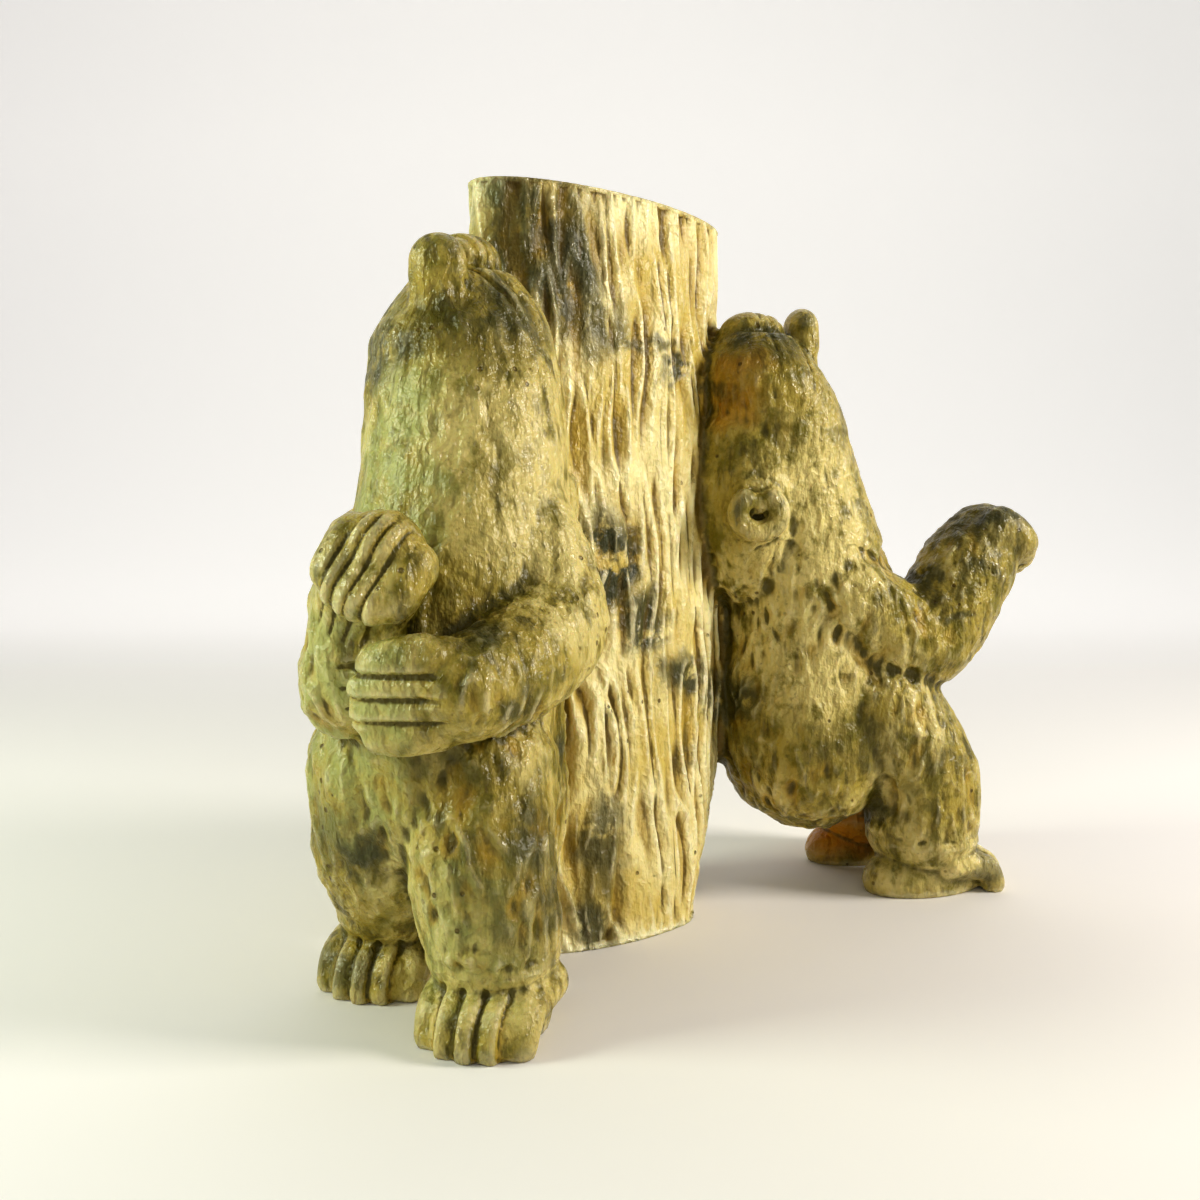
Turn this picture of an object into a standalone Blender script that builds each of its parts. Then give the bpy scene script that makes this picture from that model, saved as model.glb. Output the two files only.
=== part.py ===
"""Two bears scratching their backs on a tree trunk, carved from one block of soapstone.

Run it with: blender --background --python part.py

The frame is metres with +Z up. The trunk's long side runs along X, and the carving stands on z = 0 with the
middle of its box over the origin.
Each bear stands on its hind legs with its back against one end of the trunk, turned a little towards -Y, which
is the side that the carving is meant to be seen from. Its head is thrown back, its right arm is held up with
the paw hanging over, and its left arm lies across its belly. A bear's forms are given as shares of its own
height, in a frame that stands on the ground under its back: forward, left, up.
"""

import math

import bmesh
import bpy
import numpy as np
from mathutils import Matrix, Vector, noise

# The trunk, in metres. It is thicker at the foot, and its end under the leaning bear is undercut.
TRUNK_HEIGHT = 0.220
TRUNK_HALF_LENGTH = 0.0535
TRUNK_TOP_HALF_THICKNESS = 0.021
TRUNK_FOOT_HALF_THICKNESS = 0.033
TRUNK_UNDERCUT = 0.031
TRUNK_UNDERCUT_HEIGHT = 0.070
BARK_SCOOP_WIDTH = 0.0080
BARK_SCOOP_LENGTH = 0.034
BARK_DEPTH = 0.0020

# A bear's body: height, middle, middle to the left, half depth, half width
BODY = (
    (0.105, -0.015, 0.000, 0.050, 0.070),
    (0.145, -0.020, 0.000, 0.110, 0.130),
    (0.23, -0.010, 0.000, 0.160, 0.153),
    (0.33, 0.000, 0.004, 0.176, 0.148),
    (0.46, 0.010, 0.010, 0.170, 0.145),
    (0.58, 0.000, 0.015, 0.150, 0.143),
    (0.70, -0.022, 0.015, 0.137, 0.137),
    (0.79, -0.040, 0.006, 0.130, 0.133),
    (0.86, -0.055, 0.000, 0.118, 0.121),
    (0.905, -0.060, 0.000, 0.095, 0.099),
    (0.938, -0.058, 0.000, 0.060, 0.064),
)

EAR_RADIUS = 0.029
EAR_RIM = 0.0180
FOOT_APART = 0.098
TOE_WIDTH = 0.0285
MOUTH = -0.006

# Each bear: its height in metres, where it stands, which way it faces in degrees, and its pose
UPRIGHT_BEAR = {
    "height": 0.202,
    "place": (-0.079, -0.017),
    "facing": -155.0,
    "lean": 0.0,
    "snout": 0.018,
    "chin": 0.000,
    "ear": (0.135, 0.112),
    "hip": 0.055,
    "knee": 0.02,
    "heel": 0.115,
    "leg": (0.108, 0.098, 0.090),
    "toes": (0.20, 0.085),
    "raised": (
        (0.00, -0.090, 0.56), (0.165, -0.058, 0.42), (0.185, -0.030, 0.52),
        (0.205, 0.012, 0.585), (0.252, 0.000, 0.535), (0.000, 0.018, -0.008),
    ),
    "arm": (0.090, 0.060, 0.062, 0.052),
    "paw": 0.030,
    "crossing": ((-0.01, 0.085, 0.64), (0.02, 0.144, 0.50), (0.14, 0.130, 0.445), (0.205, 0.110, 0.435)),
    "crossing paw": ((0.232, 0.078, 0.433), (0.246, 0.012, 0.422), (0.004, 0, 0.026)),
}
LEANING_BEAR = {
    "height": 0.196,
    "place": (0.066, -0.037),
    "facing": -28.0,
    "lean": 0.13,
    "snout": 0.004,
    "chin": 0.014,
    "ear": (0.172, 0.122),
    "hip": 0.085,
    "knee": 0.035,
    "heel": 0.145,
    "leg": (0.115, 0.108, 0.102),
    "toes": (0.31, 0.31),
    "raised": (
        (0.02, -0.060, 0.50), (0.150, -0.090, 0.43), (0.240, -0.090, 0.54),
        (0.282, -0.080, 0.602), (0.340, -0.090, 0.570), (0.000, 0.021, -0.007),
    ),
    "arm": (0.098, 0.090, 0.088, 0.064),
    "paw": 0.040,
    "crossing": ((-0.01, 0.085, 0.64), (0.02, 0.144, 0.50), (0.14, 0.130, 0.445), (0.205, 0.110, 0.435)),
    "crossing paw": ((0.232, 0.078, 0.433), (0.246, 0.012, 0.422), (0.004, 0, 0.026)),
}

# The lines cut between fingers, toes and jaws, in metres
CLAW_LINE = 0.0011
CLAW_DEPTH = 0.0014

# How finely the stone is worked
VOXEL = 0.0010
SMOOTHING_PASSES = 3
BELOW_GROUND = 0.010
FACE_COUNT = 9900
LEVEL_TOLERANCE = 0.0005

STONE_COLOUR = (0.56, 0.50, 0.30, 1.0)
STONE_ROUGHNESS = 0.38


def clear_scene():
    for obj in list(bpy.data.objects):
        bpy.data.objects.remove(obj, do_unlink=True)


def soapstone():
    material = bpy.data.materials.new("soapstone")
    material.use_nodes = True
    shader = material.node_tree.nodes["Principled BSDF"]
    shader.inputs["Base Color"].default_value = STONE_COLOUR
    shader.inputs["Roughness"].default_value = STONE_ROUGHNESS
    material.diffuse_color = STONE_COLOUR
    return material


def column(rings, around):
    """An upright cylinder of radius 1 between z = 0 and z = 1, with its side cut into rings."""
    bm = bmesh.new()
    bmesh.ops.create_cone(bm, cap_ends=True, segments=around, radius1=1.0, radius2=1.0, depth=1.0,
                          matrix=Matrix.Translation((0, 0, 0.5)))
    sides = [edge for edge in bm.edges if abs(edge.verts[0].co.z - edge.verts[1].co.z) > 0.5]
    bmesh.ops.subdivide_edges(bm, edges=sides, cuts=rings, use_grid_fill=False)
    return bm


def kept(bm, forms):
    """Stores a finished form and lets go of its bmesh."""
    mesh = bpy.data.meshes.new("form")
    bm.to_mesh(mesh)
    bm.free()
    forms.append(mesh)


def trunk_size(up):
    """Half sizes of the trunk at each height: towards the leaning bear, and across."""
    share = up / TRUNK_HEIGHT
    across = TRUNK_FOOT_HALF_THICKNESS + (TRUNK_TOP_HALF_THICKNESS - TRUNK_FOOT_HALF_THICKNESS) * share**0.8
    undercut = TRUNK_UNDERCUT * np.maximum(0.0, 1.0 - up / TRUNK_UNDERCUT_HEIGHT) ** 1.8
    return TRUNK_HALF_LENGTH - undercut, across


def trunk(forms):
    """An oval column cut level at the top."""
    bm = column(60, 160)
    for vert in bm.verts:
        z = -BELOW_GROUND + (TRUNK_HEIGHT + BELOW_GROUND) * vert.co.z
        right_half, half_across = trunk_size(max(z, 0.0))
        half_length = right_half if vert.co.x > 0 else TRUNK_HALF_LENGTH
        vert.co = (vert.co.x * half_length, vert.co.y * half_across, z)
    kept(bm, forms)


def lump(centre, radii):
    """An egg's place: half sizes forward, left and up."""
    radii = (radii,) * 3 if isinstance(radii, (int, float)) else radii
    return Matrix.Translation(centre) @ Matrix.Diagonal((*radii, 1.0))


def limb(points, radii, steps=10):
    """A tapering run of balls along a smooth line through the points."""
    spots = [Vector(point) for point in points]
    last = len(spots) - 1
    lumps = []
    for i in range(last):
        a, b = spots[i], spots[i + 1]
        before, after = spots[max(i - 1, 0)], spots[min(i + 2, last)]
        for k in range(steps + (i == last - 1)):
            t = k / steps
            centre = 0.5 * (
                2 * a
                + (b - before) * t
                + (2 * before - 5 * a + 4 * b - after) * t**2
                + (3 * a - before - 3 * b + after) * t**3
            )
            lumps.append(lump(centre, radii[i] + (radii[i + 1] - radii[i]) * t))
    return lumps


def smooth_row(rows, height):
    heights = [row[0] for row in rows]
    i = min(max(sum(h <= height for h in heights) - 1, 0), len(rows) - 2)
    t = (height - heights[i]) / (heights[i + 1] - heights[i])
    values = []
    for k in range(1, len(rows[0])):
        a, b = rows[i][k], rows[i + 1][k]
        before, after = rows[max(i - 1, 0)][k], rows[min(i + 2, len(rows) - 1)][k]
        slope_a, slope_b = 0.5 * (b - before), 0.5 * (after - a)
        values.append(
            a * (2 * t**3 - 3 * t**2 + 1)
            + slope_a * (t**3 - 2 * t**2 + t)
            + b * (3 * t**2 - 2 * t**3)
            + slope_b * (t**3 - t**2)
        )
    return values


def head(pose):
    """Thrown back, so that the muzzle points up: upper jaw towards the trunk, lower jaw in front."""
    back = pose["lean"] * -0.45
    lumps = [
        lump((-0.035 + back, 0, 0.83), (0.112, 0.122, 0.085)),
        lump((-0.085 + 0.8 * back, 0, 0.68), (0.120, 0.121, 0.20)),
        lump((-0.048 + back, 0, 0.938 + pose["snout"]), (0.038, 0.040, 0.034)),
    ]
    for k in range(6):
        rise, taper = 0.018 * k, 1 - 0.03 * k
        lumps.append(lump((-0.070 + back, 0, 0.845 + rise + pose["snout"]), (0.064 * taper, 0.051 * taper, 0.040)))
        lumps.append(lump((0.026 + back, 0, 0.850 + rise + pose["chin"]), (0.033 * taper, 0.045 * taper, 0.036)))
    return lumps


def ears(pose):
    """A thick rim, open at the top, with a small lobe inside it, on each side of the head."""
    lumps = []
    for side in (-1, 1):
        back, out = pose["ear"]
        middle = Vector((-back, side * out, 0.645))
        for k in range(25):
            angle = math.radians(-138 + 11.5 * k)
            rim = Vector((1.12 * math.sin(angle), side * 0.3 * math.sin(angle), -math.cos(angle)))
            lumps.append(lump(middle + EAR_RADIUS * rim, EAR_RIM))
        lumps.append(lump(middle + Vector((0.002, side * -0.002, 0.016)), (0.009, 0.014, 0.018)))
    return lumps


def paw(wrist, knuckles, tips, across, count, radius):
    wrist, knuckles, tips, across = Vector(wrist), Vector(knuckles), Vector(tips), Vector(across)
    lumps = []
    for i in range(count):
        step = i - 0.5 * (count - 1)
        shorter = 0.024 * step * step / count
        tip = tips + 1.05 * step * across - shorter * (tips - knuckles).normalized()
        lumps += limb(
            [wrist + 0.8 * step * across, knuckles + step * across, tip], [radius, radius * 1.1, radius * 0.85]
        )
    return lumps


def raised_arm(pose):
    shoulder, elbow, wrist, knuckles, tips, across = pose["raised"]
    arm = limb([shoulder, elbow, wrist, knuckles], pose["arm"])
    return arm + paw(wrist, knuckles, tips, across, 5, pose["paw"])


def crossing_arm(pose):
    knuckles, tips, across = pose["crossing paw"]
    wrist = pose["crossing"][-1]
    arm = limb(pose["crossing"], [0.072, 0.080, 0.073, 0.063])
    return arm + paw(wrist, knuckles, tips, across, 4, 0.029)


def leg(side, toe, pose):
    """A trousered leg that ends in a hem over the foot, and five toes on the ground."""
    ankle, hip = toe - pose["heel"], pose["hip"]
    knee = 0.5 * (hip + ankle) + pose["knee"]
    lumps = limb([(hip, side * 0.062, 0.31), (knee, side * 0.080, 0.20), (ankle, side * 0.092, 0.12)], pose["leg"])
    lumps.append(lump((ankle, side * 0.095, 0.110), (pose["leg"][2] + 0.010, 0.082, 0.036)))
    lumps.append(lump((toe - pose["heel"], side * FOOT_APART, 0.02), (pose["heel"] - 0.03, 0.066, 0.060)))
    for k in range(5):
        across = side * FOOT_APART + TOE_WIDTH * (k - 2)
        front = toe - 0.006 * (k - 2) ** 2
        lumps += limb(
            [(front - 0.11, across, 0.055), (front - 0.040, across, 0.042), (front - 0.018, across, 0.012)],
            [0.028, 0.0235, 0.0205],
            steps=5,
        )
    return lumps


def standing(pose):
    """The bear's frame: where it stands and which way it faces."""
    return Matrix.Translation((*pose["place"], 0)) @ Matrix.Rotation(math.radians(pose["facing"]), 4, "Z")


def bear(pose, forms):
    stand = standing(pose) @ Matrix.Scale(pose["height"], 4)
    body = column(48, 48)
    for vert in body.verts:
        h = BODY[0][0] + (BODY[-1][0] - BODY[0][0]) * vert.co.z
        middle, left, depth, width = smooth_row(BODY, h)
        middle -= pose["lean"] * max(h - 0.45, 0.0)
        vert.co = stand @ Vector((middle + depth * vert.co.x, left + width * vert.co.y, h))
    kept(body, forms)
    parts = [head(pose), ears(pose), raised_arm(pose), crossing_arm(pose)]
    parts += [leg(1, pose["toes"][0], pose), leg(-1, pose["toes"][1], pose)]
    for lumps in parts:
        for start in range(0, len(lumps), 16):
            bm = bmesh.new()
            for place in lumps[start:start + 16]:
                bmesh.ops.create_icosphere(bm, subdivisions=3, radius=1.0, matrix=stand @ place)
            kept(bm, forms)


def joined(forms):
    """All forms in one mesh."""
    block = bmesh.new()
    for mesh in forms:
        block.from_mesh(mesh)
        bpy.data.meshes.remove(mesh)
    mesh = bpy.data.meshes.new("bear_carving")
    block.to_mesh(mesh)
    block.free()
    return mesh


def applied(carving, kind, **settings):
    """Runs one modifier on the carving and keeps its result."""
    modifier = carving.modifiers.new(kind, kind)
    for name, value in settings.items():
        setattr(modifier, name, value)
    mesh = bpy.data.meshes.new_from_object(carving.evaluated_get(bpy.context.evaluated_depsgraph_get()))
    carving.modifiers.clear()
    carving.data = mesh
    return mesh


def cut_level(mesh):
    """Saws off what lies under the ground and closes the soles."""
    bm = bmesh.new()
    bm.from_mesh(mesh)
    everything = bm.verts[:] + bm.edges[:] + bm.faces[:]
    cut = bmesh.ops.bisect_plane(bm, geom=everything, plane_co=(0, 0, 0), plane_no=(0, 0, 1), clear_inner=True)
    rim = [item for item in cut["geom_cut"] if isinstance(item, bmesh.types.BMEdge)]
    bmesh.ops.triangulate(bm, faces=bmesh.ops.holes_fill(bm, edges=rim, sides=0)["faces"])
    bm.to_mesh(mesh)
    bm.free()


def ease(low, high, values):
    """0 below low, 1 above high, and smooth between them."""
    t = np.clip((values - low) / (high - low), 0.0, 1.0)
    return t * t * (3 - 2 * t)


def between(finger, spacing):
    """How deep the line between two fingers is cut, 0 to 1, for a place counted in fingers from half way."""
    return np.clip(1 - np.abs(finger - np.round(finger)) * spacing / CLAW_LINE, 0, None)


def claw_lines(pose, spots):
    """How deep the lines on a bear's paws, feet and mouth are cut at each spot, 0 to 1."""
    stand, height = standing(pose), pose["height"]
    own = (spots - np.array(stand.translation)) @ np.array(stand.to_3x3()) / height
    lines = np.zeros(len(spots))
    raised = [np.array(point) for point in pose["raised"][3:]]
    crossing = [np.array(point) for point in pose["crossing paw"]]
    for (knuckles, tips, apart), half, count in ((raised, 0.5, 5), (crossing, 0.0, 4)):
        length = np.linalg.norm(tips - knuckles)
        on_finger = (own - knuckles) @ (tips - knuckles) / length
        finger = (own - knuckles) @ apart / (apart @ apart)
        off = np.linalg.norm(own - 0.5 * (knuckles + tips), axis=1)
        zone = ease(-0.035, -0.010, on_finger) * (1 - ease(length + 0.030, length + 0.040, on_finger))
        zone *= (1 - ease(0.075, 0.090, off)) * (1 - ease(0.5 * count - 0.9, 0.5 * count - 0.4, np.abs(finger)))
        lines = np.maximum(lines, zone * between(finger + half, height * np.linalg.norm(apart)))
    for side, toe in ((1, pose["toes"][0]), (-1, pose["toes"][1])):
        finger = (own[:, 1] - side * FOOT_APART) / TOE_WIDTH
        zone = ease(toe - 0.065, toe - 0.045, own[:, 0]) * (1 - ease(0.065, 0.080, own[:, 2]))
        zone *= 1 - ease(1.7, 2.2, np.abs(finger))
        lines = np.maximum(lines, zone * between(finger + 0.5, height * TOE_WIDTH))
    mouth = MOUTH - 0.45 * pose["lean"]
    slit = np.clip(1 - np.abs(own[:, 0] - mouth) * height / CLAW_LINE, 0, None)
    return np.maximum(lines, slit * ease(0.900, 0.920, own[:, 2]))


def bark(spots, normals):
    """How deep the bark is scooped at each spot, 0 to 1: long hollows between ridges that wander and merge."""
    right_half, across = trunk_size(np.clip(spots[:, 2], 0.0, TRUNK_HEIGHT))
    along = np.where(spots[:, 0] > 0, right_half, TRUNK_HALF_LENGTH)
    ring = np.sqrt((spots[:, 0] / along) ** 2 + (spots[:, 1] / across) ** 2)
    off = np.hypot(spots[:, 0], spots[:, 1]) * np.abs(1 - 1 / np.maximum(ring, 1e-6))
    on_bark = (1 - ease(0.0006, 0.0016, off)) * (1 - ease(0.3, 0.8, np.abs(normals[:, 2])))
    depth = np.zeros(len(spots))
    for i in np.flatnonzero(on_bark > 0.01):
        x, y, z = spots[i]
        sway = 0.0050 * noise.noise(Vector((x * 26, y * 26, z * 20)))
        spot = Vector(((x + sway) / BARK_SCOOP_WIDTH, (y + sway) / BARK_SCOOP_WIDTH, z / BARK_SCOOP_LENGTH))
        scoop = min(1.0, 2.4 * abs(noise.noise(spot)))
        depth[i] = on_bark[i] * (1 - (1 - scoop) ** 2)
    return depth


def carve(mesh):
    """Cuts the bark and the claws into the skin."""
    count = len(mesh.vertices)
    spots, normals = np.empty(count * 3, dtype=np.float32), np.empty(count * 3, dtype=np.float32)
    mesh.vertices.foreach_get("co", spots)
    mesh.vertex_normals.foreach_get("vector", normals)
    spots, normals = spots.reshape(-1, 3).astype(float), normals.reshape(-1, 3).astype(float)
    claws = np.where(spots[:, 0] < 0, claw_lines(UPRIGHT_BEAR, spots), claw_lines(LEANING_BEAR, spots))
    depth = np.maximum(BARK_DEPTH * bark(spots, normals), CLAW_DEPTH * claws)
    spots -= normals * depth[:, None]
    mesh.vertices.foreach_set("co", spots.astype(np.float32).ravel())


def work(carving):
    """Makes the rough forms one closed body with worn edges, cuts its lines and sets it level on the ground."""
    applied(carving, "REMESH", mode="VOXEL", voxel_size=VOXEL)
    mesh = applied(carving, "SMOOTH", iterations=SMOOTHING_PASSES, factor=0.5)
    cut_level(mesh)
    carve(mesh)
    faces = sum(len(face.vertices) - 2 for face in mesh.polygons)
    mesh = applied(carving, "DECIMATE", ratio=FACE_COUNT / faces)
    for vertex in mesh.vertices:
        for level in (0.0, TRUNK_HEIGHT):
            if abs(vertex.co.z - level) < LEVEL_TOLERANCE:
                vertex.co.z = level
    corners = np.array([corner[:] for corner in carving.bound_box])
    middle = 0.5 * (corners.min(axis=0) + corners.max(axis=0))
    mesh.transform(Matrix.Translation((-middle[0], -middle[1], 0)))
    mesh.name = carving.name


def main():
    clear_scene()
    collection = bpy.data.collections.new("soapstone bear carving")
    bpy.context.scene.collection.children.link(collection)
    forms = []
    trunk(forms)
    bear(UPRIGHT_BEAR, forms)
    bear(LEANING_BEAR, forms)
    carving = bpy.data.objects.new("bear_carving", joined(forms))
    collection.objects.link(carving)
    work(carving)
    carving.data.materials.clear()
    carving.data.materials.append(soapstone())


main()
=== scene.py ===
import math

import bmesh
import bpy
import numpy as np
from mathutils import Matrix, Vector, noise


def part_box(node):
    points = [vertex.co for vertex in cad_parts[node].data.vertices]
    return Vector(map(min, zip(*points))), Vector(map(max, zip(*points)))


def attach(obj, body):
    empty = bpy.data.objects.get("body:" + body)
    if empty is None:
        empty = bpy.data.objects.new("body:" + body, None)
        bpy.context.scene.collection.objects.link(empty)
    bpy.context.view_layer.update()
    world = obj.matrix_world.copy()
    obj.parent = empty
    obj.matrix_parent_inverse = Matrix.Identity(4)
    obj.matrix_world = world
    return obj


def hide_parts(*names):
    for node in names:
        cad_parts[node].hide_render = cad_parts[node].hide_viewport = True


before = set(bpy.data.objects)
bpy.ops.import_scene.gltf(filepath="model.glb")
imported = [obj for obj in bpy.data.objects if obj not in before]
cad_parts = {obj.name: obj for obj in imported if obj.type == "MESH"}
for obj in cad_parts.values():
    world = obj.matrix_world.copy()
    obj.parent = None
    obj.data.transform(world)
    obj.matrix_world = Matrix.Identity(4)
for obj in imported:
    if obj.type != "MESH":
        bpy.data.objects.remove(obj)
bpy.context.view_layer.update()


# The block. Two bears and the tree trunk between them are one piece of soapstone, sawn from a slab, roughed
# out with rasps and files, and never parted. It is built here as the carver sees it: a trunk and two bodies,
# with every limb a run of overlapping balls, all rubbed into one skin at the end.

TRUNK_HEIGHT = 0.220
TRUNK_HALF_LENGTH = 0.0535
TRUNK_TOP_HALF_THICKNESS = 0.021
TRUNK_FOOT_HALF_THICKNESS = 0.033
TRUNK_UNDERCUT = 0.031
TRUNK_UNDERCUT_HEIGHT = 0.070
BELOW_GROUND = 0.010


def trunk_size(up):
    """Half sizes of the trunk at a height: towards the upright bear, towards the other, and across."""
    share = up / TRUNK_HEIGHT
    across = TRUNK_FOOT_HALF_THICKNESS + (TRUNK_TOP_HALF_THICKNESS - TRUNK_FOOT_HALF_THICKNESS) * share**0.8
    undercut = TRUNK_UNDERCUT * max(0.0, 1.0 - up / TRUNK_UNDERCUT_HEIGHT) ** 1.8
    return TRUNK_HALF_LENGTH, TRUNK_HALF_LENGTH - undercut, across


def column(rings, around):
    """An upright cylinder of radius 1 between z = 0 and z = 1, with its side cut into rings."""
    bm = bmesh.new()
    bmesh.ops.create_cone(bm, cap_ends=True, segments=around, radius1=1.0, radius2=1.0, depth=1.0,
                          matrix=Matrix.Translation((0, 0, 0.5)))
    sides = [e for e in bm.edges if abs(e.verts[0].co.z - e.verts[1].co.z) > 0.5]
    bmesh.ops.subdivide_edges(bm, edges=sides, cuts=rings, use_grid_fill=False)
    return bm


def kept(bm, meshes):
    """Stores a finished form and lets go of its bmesh."""
    mesh = bpy.data.meshes.new("form")
    bm.to_mesh(mesh)
    bm.free()
    meshes.append(mesh)


forms = []
trunk = column(60, 160)
for vert in trunk.verts:
    z = -BELOW_GROUND + (TRUNK_HEIGHT + BELOW_GROUND) * vert.co.z
    left_half, right_half, half_across = trunk_size(max(z, 0.0))
    vert.co = (vert.co.x * (right_half if vert.co.x > 0 else left_half), vert.co.y * half_across, z)
kept(trunk, forms)


# The bears. Each stands with its back to one end of the trunk, head thrown back, right arm held up with the
# paw hanging over and left arm laid across the belly. Their forms are shares of a bear's height, measured
# forward, left and up from the ground under its back.

# Height, middle, middle to the left, half depth, half width
BODY = (
    (0.105, -0.015, 0.000, 0.050, 0.070),
    (0.145, -0.020, 0.000, 0.110, 0.130),
    (0.23, -0.010, 0.000, 0.160, 0.153),
    (0.33, 0.000, 0.004, 0.176, 0.148),
    (0.46, 0.010, 0.010, 0.170, 0.145),
    (0.58, 0.000, 0.015, 0.150, 0.143),
    (0.70, -0.022, 0.015, 0.137, 0.137),
    (0.79, -0.040, 0.006, 0.130, 0.133),
    (0.86, -0.055, 0.000, 0.118, 0.121),
    (0.905, -0.060, 0.000, 0.095, 0.099),
    (0.938, -0.058, 0.000, 0.060, 0.064),
)
HEAD_LEAN = 0.45
LEAN_FROM = 0.45
EAR_HEIGHT = 0.645
EAR_RADIUS = 0.029
EAR_RIM = 0.0180
FOOT_APART = 0.098
TOE_WIDTH = 0.0285
MOUTH = -0.006


def lump(centre, radii):
    radii = (radii,) * 3 if isinstance(radii, (int, float)) else radii
    return Matrix.Translation(centre) @ Matrix.Diagonal((*radii, 1.0))


def limb(points, radii, steps=10):
    """A tapering run of balls along a smooth line through the points."""
    spots = [Vector(point) for point in points]
    last = len(spots) - 1
    lumps = []
    for i in range(last):
        a, b = spots[i], spots[i + 1]
        before, after = spots[max(i - 1, 0)], spots[min(i + 2, last)]
        for k in range(steps + (i == last - 1)):
            t = k / steps
            centre = 0.5 * (
                2 * a
                + (b - before) * t
                + (2 * before - 5 * a + 4 * b - after) * t**2
                + (3 * a - before - 3 * b + after) * t**3
            )
            lumps.append(lump(centre, radii[i] + (radii[i + 1] - radii[i]) * t))
    return lumps


def smooth_row(rows, height):
    """The rows' other values at a height, on smooth lines through the rows."""
    heights = [row[0] for row in rows]
    i = min(max(sum(h <= height for h in heights) - 1, 0), len(rows) - 2)
    t = (height - heights[i]) / (heights[i + 1] - heights[i])
    values = []
    for k in range(1, len(rows[0])):
        a, b = rows[i][k], rows[i + 1][k]
        before, after = rows[max(i - 1, 0)][k], rows[min(i + 2, len(rows) - 1)][k]
        slope_a, slope_b = 0.5 * (b - before), 0.5 * (after - a)
        values.append(
            a * (2 * t**3 - 3 * t**2 + 1)
            + slope_a * (t**3 - 2 * t**2 + t)
            + b * (3 * t**2 - 2 * t**3)
            + slope_b * (t**3 - t**2)
        )
    return values


def head(pose):
    """Thrown back, so that the muzzle points up: upper jaw towards the trunk, lower jaw in front."""
    back = pose["lean"] * -HEAD_LEAN
    lumps = [
        lump((-0.035 + back, 0, 0.83), (0.112, 0.122, 0.085)),
        lump((-0.085 + 0.8 * back, 0, 0.68), (0.120, 0.121, 0.20)),
        lump((-0.048 + back, 0, 0.938 + pose["snout"]), (0.038, 0.040, 0.034)),
    ]
    for k in range(6):
        rise, taper = 0.018 * k, 1 - 0.03 * k
        upper_jaw = (-0.070 + back, 0, 0.845 + rise + pose["snout"])
        lower_jaw = (0.026 + back, 0, 0.850 + rise + pose["chin"])
        lumps.append(lump(upper_jaw, (0.064 * taper, 0.051 * taper, 0.040)))
        lumps.append(lump(lower_jaw, (0.033 * taper, 0.045 * taper, 0.036)))
    return lumps


def ears(pose):
    """A thick rim, open at the top, with a small lobe inside it, on each side of the head."""
    lumps = []
    for side in (-1, 1):
        back, out = pose["ear"]
        middle = Vector((-back, side * out, EAR_HEIGHT))
        for k in range(25):
            angle = math.radians(-138 + 11.5 * k)
            rim = Vector((1.12 * math.sin(angle), side * 0.3 * math.sin(angle), -math.cos(angle)))
            lumps.append(lump(middle + EAR_RADIUS * rim, EAR_RIM))
        lumps.append(lump(middle + Vector((0.002, side * -0.002, 0.016)), (0.009, 0.014, 0.018)))
    return lumps


def paw(wrist, knuckles, tips, across, count, radius):
    """Fingers side by side from the wrist over the knuckles to the tips, the outer ones shorter."""
    wrist, knuckles, tips, across = Vector(wrist), Vector(knuckles), Vector(tips), Vector(across)
    lumps = []
    for i in range(count):
        step = i - 0.5 * (count - 1)
        shorter = 0.024 * step * step / count
        tip = tips + 1.05 * step * across - shorter * (tips - knuckles).normalized()
        finger = [wrist + 0.8 * step * across, knuckles + step * across, tip]
        lumps += limb(finger, [radius, radius * 1.1, radius * 0.85])
    return lumps


def raised_arm(pose):
    shoulder, elbow, wrist, knuckles, tips, across = pose["raised"]
    arm = limb([shoulder, elbow, wrist, knuckles], pose["arm"])
    return arm + paw(wrist, knuckles, tips, across, 5, pose["paw"])


def crossing_arm(pose):
    knuckles, tips, across = pose["crossing paw"]
    wrist = pose["crossing"][-1]
    arm = limb(pose["crossing"], [0.072, 0.080, 0.073, 0.063])
    return arm + paw(wrist, knuckles, tips, across, 4, 0.029)


def leg(side, toe, pose):
    """A trousered leg that ends in a hem over the foot, and five toes on the ground."""
    ankle, hip = toe - pose["heel"], pose["hip"]
    knee = 0.5 * (hip + ankle) + pose["knee"]
    joints = [(hip, side * 0.062, 0.31), (knee, side * 0.080, 0.20), (ankle, side * 0.092, 0.12)]
    lumps = limb(joints, pose["leg"])
    lumps.append(lump((ankle, side * 0.095, 0.110), (pose["leg"][2] + 0.010, 0.082, 0.036)))
    lumps.append(lump((toe - pose["heel"], side * FOOT_APART, 0.02), (pose["heel"] - 0.03, 0.066, 0.060)))
    for k in range(5):
        across = side * FOOT_APART + TOE_WIDTH * (k - 2)
        front = toe - 0.006 * (k - 2) ** 2
        lumps += limb(
            [(front - 0.11, across, 0.055), (front - 0.040, across, 0.042), (front - 0.018, across, 0.012)],
            [0.028, 0.0235, 0.0205],
            steps=5,
        )
    return lumps


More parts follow.
